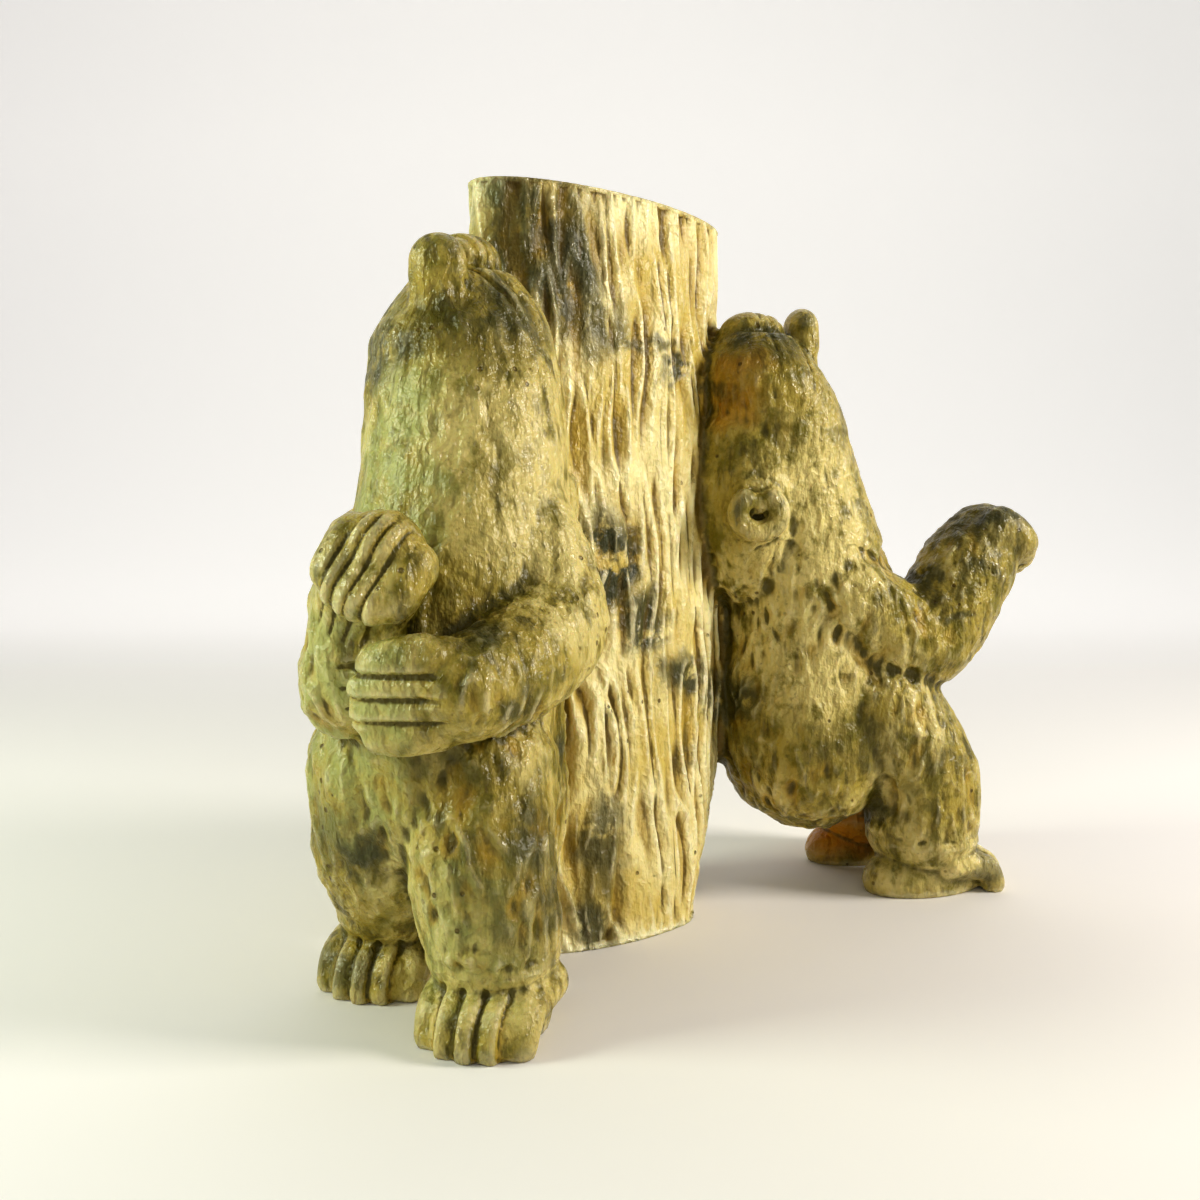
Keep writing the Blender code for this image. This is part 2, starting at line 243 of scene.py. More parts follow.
UPRIGHT_BEAR = {
    "height": 0.202,
    "place": (-0.079, -0.017),
    "facing": -155.0,
    "lean": 0.0,
    "snout": 0.018,
    "chin": 0.000,
    "ear": (0.135, 0.112),
    "hip": 0.055,
    "knee": 0.02,
    "heel": 0.115,
    "leg": (0.108, 0.098, 0.090),
    "toes": (0.20, 0.085),
    "raised": (
        (0.00, -0.090, 0.56), (0.165, -0.058, 0.42), (0.185, -0.030, 0.52),
        (0.205, 0.012, 0.585), (0.252, 0.000, 0.535), (0.000, 0.018, -0.008),
    ),
    "arm": (0.090, 0.060, 0.062, 0.052),
    "paw": 0.030,
    "crossing": ((-0.01, 0.085, 0.64), (0.02, 0.144, 0.50), (0.14, 0.130, 0.445), (0.205, 0.110, 0.435)),
    "crossing paw": ((0.232, 0.078, 0.433), (0.246, 0.012, 0.422), (0.004, 0, 0.026)),
}
LEANING_BEAR = {
    "height": 0.196,
    "place": (0.066, -0.037),
    "facing": -28.0,
    "lean": 0.13,
    "snout": 0.004,
    "chin": 0.014,
    "ear": (0.172, 0.122),
    "hip": 0.085,
    "knee": 0.035,
    "heel": 0.145,
    "leg": (0.115, 0.108, 0.102),
    "toes": (0.31, 0.31),
    "raised": (
        (0.02, -0.060, 0.50), (0.150, -0.090, 0.43), (0.240, -0.090, 0.54),
        (0.282, -0.080, 0.602), (0.340, -0.090, 0.570), (0.000, 0.021, -0.007),
    ),
    "arm": (0.098, 0.090, 0.088, 0.064),
    "paw": 0.040,
    "crossing": ((-0.01, 0.085, 0.64), (0.02, 0.144, 0.50), (0.14, 0.130, 0.445), (0.205, 0.110, 0.435)),
    "crossing paw": ((0.232, 0.078, 0.433), (0.246, 0.012, 0.422), (0.004, 0, 0.026)),
}

for pose in (UPRIGHT_BEAR, LEANING_BEAR):
    stand = (
        Matrix.Translation((*pose["place"], 0))
        @ Matrix.Rotation(math.radians(pose["facing"]), 4, "Z")
        @ Matrix.Scale(pose["height"], 4)
    )
    body = column(48, 48)
    for vert in body.verts:
        h = BODY[0][0] + (BODY[-1][0] - BODY[0][0]) * vert.co.z
        middle, left, depth, width = smooth_row(BODY, h)
        middle -= pose["lean"] * max(h - LEAN_FROM, 0.0)
        vert.co = stand @ Vector((middle + depth * vert.co.x, left + width * vert.co.y, h))
    kept(body, forms)
    parts = [head(pose), ears(pose), raised_arm(pose), crossing_arm(pose)]
    parts += [leg(1, pose["toes"][0], pose), leg(-1, pose["toes"][1], pose)]
    for lumps in parts:
        for start in range(0, len(lumps), 16):
            bm = bmesh.new()
            for place in lumps[start:start + 16]:
                bmesh.ops.create_icosphere(bm, subdivisions=3, radius=1.0, matrix=stand @ place)
            kept(bm, forms)

block = bmesh.new()
for mesh in forms:
    block.from_mesh(mesh)
    bpy.data.meshes.remove(mesh)
mesh = bpy.data.meshes.new("bears_and_trunk")
block.to_mesh(mesh)
block.free()
carving = bpy.data.objects.new("bears_and_trunk", mesh)
bpy.context.scene.collection.objects.link(carving)


# The skin. The block is remeshed into one closed surface, rubbed smooth and sawn level under the feet. Relief
# is cut into it, inwards only: folds of bark on the trunk, scoops of fur on the bears, lines between claws.
# The mesh is then thinned out and set over the middle of the solid's box.

VOXEL = 0.0009
RUBBING = 3
MOST_TRIANGLES = 196000
BARK_SCOOP = (0.0052, 0.0052, 0.033)
BARK_DEPTH = 0.0027
FUR_SCOOP = (0.0047, 0.0047, 0.0074)
FUR_DEPTH = 0.0019
RUFF_DEPTH = 0.0012
RUFF_HEIGHT = 0.1156
RUFF_EDGE = 0.0012
RUFF_LENGTH = 0.014
CLAW_LINE = 0.0011
CLAW_DEPTH = 0.0010
LIP_FOLD = 0.020
CREASE_TURNS = 6
CREASE_DEPTH = 0.0008
HOLLOW_TURNS = 60
HOLLOW_DEPTH = 0.005


def applied(piece, kind, **settings):
    """Runs one modifier on the piece and keeps its result as the piece's mesh."""
    modifier = piece.modifiers.new(kind, kind)
    for name, value in settings.items():
        setattr(modifier, name, value)
    done = bpy.data.meshes.new_from_object(piece.evaluated_get(bpy.context.evaluated_depsgraph_get()))
    old = piece.data
    piece.modifiers.clear()
    piece.data = done
    bpy.data.meshes.remove(old)
    return done


def cut_level(mesh):
    """Saws off what lies under the ground and closes the soles."""
    bm = bmesh.new()
    bm.from_mesh(mesh)
    everything = bm.verts[:] + bm.edges[:] + bm.faces[:]
    cut = bmesh.ops.bisect_plane(
        bm, geom=everything, plane_co=(0, 0, 0), plane_no=(0, 0, 1), clear_inner=True
    )
    rim = [item for item in cut["geom_cut"] if isinstance(item, bmesh.types.BMEdge)]
    bmesh.ops.triangulate(bm, faces=bmesh.ops.holes_fill(bm, edges=rim, sides=0)["faces"])
    bm.to_mesh(mesh)
    bm.free()


def vectors(items, name):
    """One vector of each of a mesh's items, as the rows of an array."""
    values = np.empty(len(items) * 3, dtype=np.float32)
    items.foreach_get(name, values)
    return values.reshape(-1, 3).astype(float)


def ease(low, high, values):
    """0 below low, 1 above high, and smooth between them."""
    t = np.clip((values - low) / (high - low), 0.0, 1.0)
    return t * t * (3 - 2 * t)


applied(carving, "REMESH", mode="VOXEL", voxel_size=VOXEL)
skin = applied(carving, "SMOOTH", iterations=RUBBING, factor=0.5)
cut_level(skin)

spots, normals = vectors(skin.vertices, "co"), vectors(skin.vertex_normals, "vector")
up = np.clip(spots[:, 2], 0.0, None)
share = up / TRUNK_HEIGHT
across = TRUNK_FOOT_HALF_THICKNESS + (TRUNK_TOP_HALF_THICKNESS - TRUNK_FOOT_HALF_THICKNESS) * share**0.8
undercut = TRUNK_UNDERCUT * np.clip(1.0 - up / TRUNK_UNDERCUT_HEIGHT, 0.0, None) ** 1.8
along = np.where(spots[:, 0] > 0, TRUNK_HALF_LENGTH - undercut, TRUNK_HALF_LENGTH)
ring = np.sqrt((spots[:, 0] / along) ** 2 + (spots[:, 1] / across) ** 2)
off_trunk = np.hypot(spots[:, 0], spots[:, 1]) * np.abs(1 - 1 / np.maximum(ring, 1e-6))
on_bark = (1 - ease(0.0006, 0.0016, off_trunk)) * (1 - ease(0.3, 0.8, np.abs(normals[:, 2])))


def between(finger, spacing):
    """How deep the line between two fingers is cut, 0 to 1, for a place counted in fingers from half way."""
    return np.clip(1 - np.abs(finger - np.round(finger)) * spacing / CLAW_LINE, 0, None)


def line_zones(pose, own):
    """How deep a bear's paw, foot and mouth lines are cut and how near to a paw each spot is, 0 to 1."""
    height = pose["height"]
    lines, near = np.zeros(len(own)), np.zeros(len(own))
    raised = [np.array(point) for point in pose["raised"][3:]]
    crossing = [np.array(point) for point in pose["crossing paw"]]
    for (knuckles, tips, apart), half, count in ((raised, 0.5, 5), (crossing, 0.0, 4)):
        length = np.linalg.norm(tips - knuckles)
        on_finger = (own - knuckles) @ (tips - knuckles) / length
        finger = (own - knuckles) @ apart / (apart @ apart)
        off = np.linalg.norm(own - 0.5 * (knuckles + tips), axis=1)
        zone = ease(-0.035, -0.010, on_finger) * (1 - ease(length + 0.030, length + 0.040, on_finger))
        beside = ease(0.5 * count - 0.9, 0.5 * count - 0.4, np.abs(finger))
        zone *= (1 - ease(0.075, 0.090, off)) * (1 - beside)
        lines = np.maximum(lines, zone * between(finger + half, height * np.linalg.norm(apart)))
        near = np.maximum(near, 1 - ease(0.045, 0.110, off))
    for side, toe in ((1, pose["toes"][0]), (-1, pose["toes"][1])):
        finger = (own[:, 1] - side * FOOT_APART) / TOE_WIDTH
        zone = ease(toe - 0.065, toe - 0.045, own[:, 0]) * (1 - ease(0.065, 0.080, own[:, 2]))
        zone *= 1 - ease(1.7, 2.2, np.abs(finger))
        lines = np.maximum(lines, zone * between(finger + 0.5, height * TOE_WIDTH))
    mouth = MOUTH - HEAD_LEAN * pose["lean"]
    slit = np.clip(1 - np.abs(own[:, 0] - mouth) * height / CLAW_LINE, 0, None)
    slit *= ease(0.860, 0.880, own[:, 2])
    lip = (mouth - own[:, 0]) / LIP_FOLD
    folds = 0.6 * between(lip, height * LIP_FOLD) * (lip > 0.5) * (lip < 3.5) * ease(0.880, 0.900, own[:, 2])
    return np.maximum(lines, np.maximum(slit, folds)), near


calm = np.zeros(len(spots))
claws = np.zeros(len(spots))
local = np.zeros_like(spots)
for pose, on_side in ((UPRIGHT_BEAR, spots[:, 0] < 0), (LEANING_BEAR, spots[:, 0] >= 0)):
    height = pose["height"]
    stand = Matrix.Translation((*pose["place"], 0)) @ Matrix.Rotation(math.radians(pose["facing"]), 4, "Z")
    own = (spots - np.array(stand.translation)) @ np.array(stand.to_3x3()) / height
    local[on_side] = own[on_side] * height
    lines, smooth = line_zones(pose, own)
    smooth += ease(0.90, 0.93, own[:, 2]) + 1 - ease(0.085, 0.10, own[:, 2])
    for side in (-1, 1):
        ear = np.array((-pose["ear"][0], side * pose["ear"][1], EAR_HEIGHT))
        smooth += 1 - ease(0.050, 0.062, np.linalg.norm(own - ear, axis=1))
    calm[on_side] = np.clip(smooth, 0, 1)[on_side]
    claws[on_side] = lines[on_side]

cut = CLAW_DEPTH * claws * (1 - on_bark)
# Painted shade: how much the colour is deepened in the lines between claws, the folds of bark, the fur's
# scoops and under the ruff's edge, from how deep each is cut, more so on the lower halves of the bodies.
cut_shade = 0.8 * claws * (1 - on_bark)
for i in range(len(spots)):
    x, y, z = spots[i]
    if on_bark[i] > 0.01:
        sway = 0.0045 * noise.noise(Vector((x * 30, y * 30, z * 26)))
        spot = Vector(((x + sway) / BARK_SCOOP[0], (y + sway) / BARK_SCOOP[1], z / BARK_SCOOP[2]))
        fold = min(1.0, 2.0 * abs(noise.noise(spot)))
        seam = max(0.0, 1 - 6.0 * abs(noise.noise(Vector((0.62 * spot.x + 4, 0.62 * spot.y, 0.5 * spot.z)))))
        chip = noise.noise(Vector((1.7 * spot.x, 1.7 * spot.y + 9, 1.2 * spot.z)))
        chip = min(1.0, max(0.0, 0.5 + 1.4 * chip))
        scoop = min(1.0, 0.66 * fold + 0.30 * seam + 0.18 * chip)
        cut[i] += on_bark[i] * BARK_DEPTH * scoop
        cut_shade[i] = max(cut_shade[i], scoop * on_bark[i])
    fur = (1 - on_bark[i]) * (1 - calm[i])
    if fur > 0.01 and z > 0.001:
        f, l, h = local[i]
        bend = 0.0022 * noise.noise(Vector((f * 90, l * 90, h * 80)))
        spot = Vector(((f + bend) / FUR_SCOOP[0], (l - bend) / FUR_SCOOP[1], (h + bend) / FUR_SCOOP[2]))
        near, seeds = noise.voronoi(spot)
        pit = max(0.0, 1 - (near[0] / 0.62) ** 2) * (0.35 + 0.65 * abs(noise.cell(5.1 * seeds[0])))
        tuft = min(1.0, 2.2 * abs(noise.noise(Vector((0.8 * spot.x, 0.8 * spot.y + 5, 0.55 * spot.z)))))
        patch = min(1.0, max(0.2, 0.7 + 1.2 * noise.noise(Vector((f * 40 + 7, l * 40, h * 30)))))
        streak = noise.noise(Vector((f * 520, l * 520, h * 130)))
        broad = 0.5 + 0.5 * noise.noise(Vector((f * 95, l * 95 + 3, h * 80)))
        deep = 0.50 + 0.50 * min(1.0, max(0.0, (0.140 - z) / 0.04))
        ragged = 0.0080 * noise.noise(Vector((f * 60, l * 60, 7.0)))
        below = RUFF_HEIGHT + ragged + 0.0030 * noise.noise(Vector((f * 170, l * 170, 2.0))) - h
        step = min(1.0, max(0.0, below / RUFF_EDGE)) * min(1.0, max(0.0, (RUFF_LENGTH - below) / 0.012))
        worn = min(1.0, max(0.0, 0.5 + 2.2 * noise.noise(Vector((f * 45, l * 45, 5.0)))))
        step *= worn * (f < 0.024 and x > 0)
        cut[i] += fur * (
            FUR_DEPTH * (0.50 * pit + 0.50 * tuft) * patch * deep
            + 0.0004 * (streak + 0.6) + 0.0009 * broad + RUFF_DEPTH * step
        )
        cut_shade[i] = max(cut_shade[i], (0.55 * pit + 0.45 * tuft**2) * patch * deep * fur, 0.6 * step * fur)

carved = spots - normals * cut[:, None]
carved[:, 2] = np.maximum(carved[:, 2], 0.0)
carved[spots[:, 2] < 0.0004, 2] = 0.0
skin.vertices.foreach_set("co", carved.astype(np.float32).ravel())

# How hollow each spot is: how far an averaged surface lies outside it, after a few turns for creases and
# after many for broad hollows. It tells the stone's colour where to paint shade into creases and hollows, a
# honey glow into the bark's hollows and a pale highlight onto ridges.
ends = np.empty(len(skin.edges) * 2, dtype=np.int64)
skin.edges.foreach_get("vertices", ends)
ends = ends.reshape(-1, 2)
count = np.bincount(ends.ravel(), minlength=len(spots))[:, None]
averaged = carved.copy()
shades = {}
for turn in range(1, HOLLOW_TURNS + 1):
    total = np.stack(
        [
            np.bincount(ends[:, 0], averaged[ends[:, 1], axis], len(spots))
            + np.bincount(ends[:, 1], averaged[ends[:, 0], axis], len(spots))
            for axis in range(3)
        ],
        axis=1,
    )
    averaged = 0.4 * averaged + 0.6 * total / count
    if turn in (CREASE_TURNS, HOLLOW_TURNS):
        shades[turn] = np.einsum("ij,ij->i", averaged - carved, normals)

for name, values in (
    ("crease", 0.5 + shades[CREASE_TURNS] / CREASE_DEPTH),
    ("hollow", 0.5 + shades[HOLLOW_TURNS] / HOLLOW_DEPTH),
    ("cut_shade_map", cut_shade),
    ("bark", on_bark),
):
    layer = skin.attributes.new(name, "FLOAT", "POINT")
    layer.data.foreach_set("value", np.clip(values, 0, 1).astype(np.float32))

triangles = sum(len(p.vertices) - 2 for p in skin.polygons)
skin = applied(carving, "DECIMATE", ratio=min(1.0, MOST_TRIANGLES / triangles))
low, high = np.array(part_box("bear_carving"))
spots = vectors(skin.vertices, "co")
shift = 0.5 * (low + high) - 0.5 * (spots.min(0) + spots.max(0))
shift[2] = 0.0
skin.transform(Matrix.Translation(shift))
skin.shade_smooth()


# The stone. Soapstone the colour of old wax: cream and straw where it was cut fresh, olive and grey-green
# where darker bands cross the block, amber where light comes through thin stone. Light and shade are also
# painted into its colour: the amber is painted glow, honey glow and shade lie in the hollows and cuts, shade
# in the creases and in some of the olive and grey-green clouds, a pale highlight on the ridges, and the green
# of the left light on the sides that face it. Sanded, oiled and waxed, it has a soft shine with fine
# scratches in it.

CREAM = (0.90, 0.80, 0.40, 1.0)
STRAW = (0.64, 0.49, 0.12, 1.0)
WAX = (0.74, 0.62, 0.24, 1.0)
TAN = (0.42, 0.325, 0.058, 1.0)
MOSS = (0.195, 0.160, 0.010, 1.0)
DARK_MOSS = (0.075, 0.062, 0.001, 1.0)
# The green of the left light, painted on.
LEFT_LIGHT_GREEN = (0.45, 0.46, 0.15, 1.0)
OLIVE = (0.085, 0.070, 0.002, 1.0)
SLATE = (0.045, 0.046, 0.010, 1.0)
AMBER = (0.60, 0.26, 0.006, 1.0)
# Painted glow and shade for hollows and cuts.
HONEY_GLOW = (0.46, 0.28, 0.015, 1.0)
BROWN = (0.105, 0.064, 0.001, 1.0)
# Painted highlight for the ridges.
RIDGE_HIGHLIGHT = (0.95, 0.87, 0.55, 1.0)
WANDER = 0.022
CLOUD_EDGE = 1.25
CLOUD_CORE = 0.45
RELIEF_HEIGHT = 0.0012

# Where bands and clouds of colour lie in the block: middle, half sizes and how strong each is, in metres.
# The slate and olive clouds are partly darker bands in the stone and partly painted shadow, as on the
# leaning bear's belly; the milky green clouds are the green of the left light, painted on; the amber clouds
# are painted glow.
SLATE_BANDS_AND_SHADE_PLACES = (
    ((-0.046, 0.024, 0.208), (0.010, 0.020, 0.018), 0.55),
    ((-0.034, 0.016, 0.196), (0.013, 0.014, 0.022), 0.80),
    ((-0.004, 0.010, 0.177), (0.022, 0.012, 0.004), 0.75),
    ((0.012, 0.010, 0.170), (0.012, 0.012, 0.004), 0.95),
    ((0.028, 0.010, 0.165), (0.010, 0.012, 0.003), 0.70),
    ((-0.021, 0.010, 0.112), (0.013, 0.016, 0.018), 1.00),
    ((-0.009, 0.008, 0.094), (0.012, 0.014, 0.012), 0.95),
    ((0.009, 0.006, 0.077), (0.016, 0.014, 0.008), 0.95),
    ((0.030, 0.006, 0.066), (0.016, 0.014, 0.008), 0.85),
    ((0.010, 0.004, 0.050), (0.009, 0.014, 0.005), 0.65),
    ((-0.028, 0.006, 0.034), (0.009, 0.014, 0.018), 0.75),
    ((-0.031, 0.008, 0.006), (0.008, 0.014, 0.010), 0.85),
    ((-0.106, -0.021, 0.095), (0.009, 0.010, 0.008), 1.00),
    ((-0.100, -0.029, 0.087), (0.007, 0.009, 0.008), 0.75),
    ((-0.074, -0.004, 0.176), (0.020, 0.020, 0.007), 0.60),
    ((-0.092, 0.026, 0.166), (0.010, 0.014, 0.012), 0.70),
    ((-0.089, -0.025, 0.050), (0.007, 0.008, 0.012), 0.65),
    ((-0.078, -0.028, 0.034), (0.010, 0.010, 0.014), 0.60),
    ((-0.062, -0.014, 0.062), (0.007, 0.008, 0.007), 0.80),
    ((-0.108, 0.014, 0.043), (0.010, 0.010, 0.006), 0.80),
    ((-0.099, 0.030, 0.008), (0.014, 0.012, 0.008), 0.50),
    ((0.038, -0.003, 0.184), (0.018, 0.014, 0.007), 0.90),
    ((0.083, -0.038, 0.104), (0.008, 0.014, 0.009), 0.85),
    ((0.099, -0.055, 0.126), (0.018, 0.016, 0.006), 0.80),
    ((0.084, -0.050, 0.092), (0.010, 0.010, 0.003), 0.75),
    ((0.093, -0.052, 0.109), (0.010, 0.012, 0.004), 0.60),
    ((0.074, -0.020, 0.026), (0.022, 0.026, 0.006), 0.85),
    ((0.080, -0.046, 0.045), (0.012, 0.010, 0.004), 0.70),
    ((0.093, -0.057, 0.010), (0.010, 0.010, 0.008), 0.60),
    ((0.060, -0.022, 0.155), (0.006, 0.010, 0.014), 0.50),
)
OLIVE_BANDS_AND_SHADE_PLACES = (
    ((-0.038, 0.018, 0.204), (0.022, 0.018, 0.024), 1.00),
    ((-0.028, 0.013, 0.182), (0.018, 0.016, 0.014), 0.90),
    ((-0.080, 0.002, 0.173), (0.022, 0.020, 0.011), 0.75),
    ((-0.100, -0.010, 0.070), (0.012, 0.020, 0.012), 0.55),
    ((-0.088, -0.020, 0.040), (0.018, 0.018, 0.024), 0.60),
    ((-0.062, -0.018, 0.070), (0.010, 0.014, 0.022), 0.70),
    ((-0.104, 0.020, 0.046), (0.016, 0.018, 0.014), 0.60),
    ((-0.108, -0.020, 0.100), (0.016, 0.014, 0.012), 0.60),
    ((0.032, -0.006, 0.178), (0.018, 0.014, 0.010), 0.75),
    ((0.100, -0.048, 0.122), (0.020, 0.020, 0.012), 0.85),
    ((0.056, -0.028, 0.052), (0.020, 0.020, 0.012), 0.50),
    ((0.034, 0.002, 0.050), (0.010, 0.014, 0.016), 0.55),
    ((-0.031, 0.004, 0.020), (0.008, 0.014, 0.026), 0.60),
)
PALE_PLACES = (
    ((0.045, -0.022, 0.122), (0.028, 0.026, 0.036), 1.00),
    ((0.044, -0.018, 0.084), (0.028, 0.026, 0.028), 0.95),
    ((-0.064, -0.018, 0.132), (0.030, 0.020, 0.026), 0.80),
    ((-0.086, -0.004, 0.150), (0.022, 0.018, 0.016), 0.60),
    ((-0.088, -0.010, 0.128), (0.020, 0.016, 0.016), 0.50),
    ((0.088, -0.045, 0.012), (0.026, 0.022, 0.012), 0.80),
    ((-0.090, -0.026, 0.020), (0.016, 0.014, 0.016), 0.30),
)
# Painted glow: where light comes through thin stone.
AMBER_GLOW_PLACES = (
    ((0.026, 0.000, 0.166), (0.010, 0.012, 0.012), 0.65),
    ((0.095, 0.000, 0.016), (0.022, 0.022, 0.018), 1.00),
)
# The green of the left light, painted on the sides that face it.
LEFT_LIGHT_PLACES = (
    ((-0.124, 0.004, 0.085), (0.016, 0.026, 0.030), 0.90),
    ((-0.048, 0.030, 0.205), (0.006, 0.014, 0.020), 0.85),
    ((-0.112, 0.014, 0.060), (0.014, 0.024, 0.026), 0.80),
    ((-0.104, 0.010, 0.140), (0.014, 0.022, 0.034), 0.85),
    ((-0.098, -0.010, 0.030), (0.016, 0.026, 0.026), 0.50),
)


class Grain:
    """A number, colour or vector on its way through the stone's shader."""

    tree = None

    def __init__(self, socket):
        self.socket = socket

    @classmethod
    def node(cls, kind, settings, inputs, output=0):
        made = cls.tree.nodes.new(kind)
        for name, value in settings.items():
            setattr(made, name, value)
        for name, value in inputs.items():
            if isinstance(value, cls):
                cls.tree.links.new(value.socket, made.inputs[name])
            else:
                made.inputs[name].default_value = value
        return cls(made.outputs[output])

    def math(self, operation, other):
        return Grain.node("ShaderNodeMath", {"operation": operation}, {0: self, 1: other})

    def __add__(self, other):
        return self.math("ADD", other)

    def __sub__(self, other):
        return self.math("SUBTRACT", other)

    def __rsub__(self, other):
        return Grain.node("ShaderNodeMath", {"operation": "SUBTRACT"}, {0: other, 1: self})

    def __mul__(self, other):
        return self.math("MULTIPLY", other)

    __radd__ = __add__
    __rmul__ = __mul__

    def ramp(self, low, high, top=1.0):
        """0 below low, top above high, smooth between; low may be the larger one."""
        limits = {"Value": self, "From Min": low, "From Max": high, "To Min": 0.0, "To Max": top}
        return Grain.node("ShaderNodeMapRange", {"interpolation_type": "SMOOTHSTEP"}, limits)

    def tinted(self, colour, amount):
        return Grain.node("ShaderNodeMix", {"data_type": "RGBA"}, {0: amount, 6: self, 7: colour}, 2)

    def moved(self, operation, other, output=0):
        return Grain.node("ShaderNodeVectorMath", {"operation": operation}, {0: self, 1: other}, output)

    def scaled(self, scale, offset):
        """Each part of a vector times its scale, plus its offset."""
        inputs = {0: self, 1: scale, 2: offset}
        return Grain.node("ShaderNodeVectorMath", {"operation": "MULTIPLY_ADD"}, inputs)


soapstone = bpy.data.materials.new("soapstone")
soapstone.use_nodes = True
Grain.tree = soapstone.node_tree
shader = Grain.tree.nodes["Principled BSDF"]
where = Grain.node("ShaderNodeTexCoord", {}, {}, 3)


def cloud(scale, detail=3.0, stretch=(1.0, 1.0, 1.0), offset=(0.0, 0.0, 0.0), output=0, rough=0.55):
    """Noise in the block, with its grain drawn out where stretch is below 1."""
    spot = where.scaled(stretch, offset)
    inputs = {"Vector": spot, "Scale": scale, "Detail": detail, "Roughness": rough}
    return Grain.node("ShaderNodeTexNoise", {}, inputs, output)


def feature(name):
    return Grain.node("ShaderNodeAttribute", {"attribute_name": name}, {}, 2)


crease, hollow, cut_shade_map, bark = (feature(name) for name in ("crease", "hollow", "cut_shade_map", "bark"))
wander = cloud(70.0, 4.0, output=1).moved("SUBTRACT", (0.5,) * 3).moved("MULTIPLY", (WANDER,) * 3)
spot = where.moved("ADD", wander)


def shared(places):
    """The strongest of several clouds at this spot."""
    most = None
    for middle, radii, strength in places:
        inside = spot.scaled([1 / r for r in radii], [-m / r for m, r in zip(middle, radii)])
        distance = Grain.node("ShaderNodeVectorMath", {"operation": "LENGTH"}, {0: inside}, 1)
        amount = distance.ramp(CLOUD_EDGE, CLOUD_CORE, strength)
        most = amount if most is None else most.math("MAXIMUM", amount)
    return most


broad = cloud(26.0, 4.0)
mottle = cloud(120.0, 5.0, offset=(0.3, 0.1, 0.7), rough=0.62)
speckle = cloud(420.0, 4.0, offset=(0.9, 0.4, 0.2), rough=0.6)
strands = cloud(330.0, 3.0, stretch=(1.0, 1.0, 0.16), offset=(0.2, 0.6, 0.0))
tufts = cloud(210.0, 4.0, stretch=(1.0, 1.0, 0.32), offset=(0.6, 0.2, 0.3), rough=0.6)
on_bear = 1 - bark


def blend(low, high, amount):
    return Grain.node("ShaderNodeMix", {"data_type": "RGBA"}, {0: amount, 6: low, 7: high}, 2)


wood = blend(STRAW, CREAM, broad.ramp(0.34, 0.60))
coat = blend(TAN, MOSS, mottle.ramp(0.44, 0.62))
coat = coat.tinted(WAX, broad.ramp(0.46, 0.62) * tufts.ramp(0.40, 0.58, 0.8))
pale = shared(PALE_PLACES)
coat = coat.tinted(WAX, pale * mottle.ramp(0.68, 0.46))
coat = coat.tinted(DARK_MOSS, tufts.ramp(0.47, 0.33, 0.75) * (1 - pale * 0.7))
colour = blend(coat, wood, bark)
# Painted light: the green of the left light, laid on the sides that face it.
colour = colour.tinted(LEFT_LIGHT_GREEN, shared(LEFT_LIGHT_PLACES) * mottle.ramp(0.30, 0.60))
# Partly bands in the stone, partly painted shadow: olive clouds.
shade = shared(OLIVE_BANDS_AND_SHADE_PLACES)
colour = colour.tinted(OLIVE, shade * tufts.ramp(0.74, 0.46))
colour = colour.tinted(BROWN, speckle.ramp(0.58, 0.72, 0.45) * (0.15 + on_bear * 0.85))
colour = colour.tinted(CREAM, strands.ramp(0.55, 0.75, 0.40) * bark)
# Painted glow: amber where light comes through thin stone.
colour = colour.tinted(AMBER, shared(AMBER_GLOW_PLACES) * broad.ramp(0.2, 0.5))
# Painted glow and shade: honey in the bark's hollows and cuts and in the bears' cuts, where light comes
# through the stone.
colour = colour.tinted(HONEY_GLOW, hollow.ramp(0.52, 0.86, 0.85) * bark)
# Painted shade: brown in the bears' broad hollows.
colour = colour.tinted(BROWN, hollow.ramp(0.56, 0.95, 0.85) * on_bear * (1 - pale * 0.5))
colour = colour.tinted(HONEY_GLOW, cut_shade_map.ramp(0.30, 0.95, 0.80) * bark)
# Painted shade: olive in the bark's deepest cuts.
colour = colour.tinted(OLIVE, cut_shade_map.ramp(0.60, 1.0, 0.70) * bark * broad.ramp(0.56, 0.40))
colour = colour.tinted(HONEY_GLOW, cut_shade_map.ramp(0.25, 0.7, 0.60) * on_bear)
# Painted shade: brown in the bears' deepest cuts.
deepest = cut_shade_map.ramp(0.50, 0.95, 0.90) * on_bear * mottle.ramp(0.30, 0.52)
colour = colour.tinted(BROWN, deepest * (1 - pale * 0.4))
# Partly bands in the stone, partly painted shadow: slate clouds.
colour = colour.tinted(SLATE, shared(SLATE_BANDS_AND_SHADE_PLACES) * mottle.ramp(0.34, 0.50))
# Painted shade in creases: brown on the bark, olive on the bears.
colour = colour.tinted(BROWN, crease.ramp(0.60, 0.95, 0.80) * bark)
colour = colour.tinted(OLIVE, crease.ramp(0.55, 0.86, 0.90) * on_bear)
# Painted highlight: a pale tint on ridges, where the crease measure is low, stronger on the bark and weaker
# on olive clouds.
colour = colour.tinted(RIDGE_HIGHLIGHT, crease.ramp(0.42, 0.08, 0.30) * (1 + bark) * (1 - shade * 0.8))

pits = Grain.node("ShaderNodeTexVoronoi", {}, {"Vector": where, "Scale": 210.0}, 0)
rare = cloud(38.0, 2.0, offset=(0.5, 0.5, 0.1)).ramp(0.52, 0.62)
pitted = pits.ramp(0.17, 0.09) * rare
colour = colour.tinted(BROWN, pitted * 0.8)

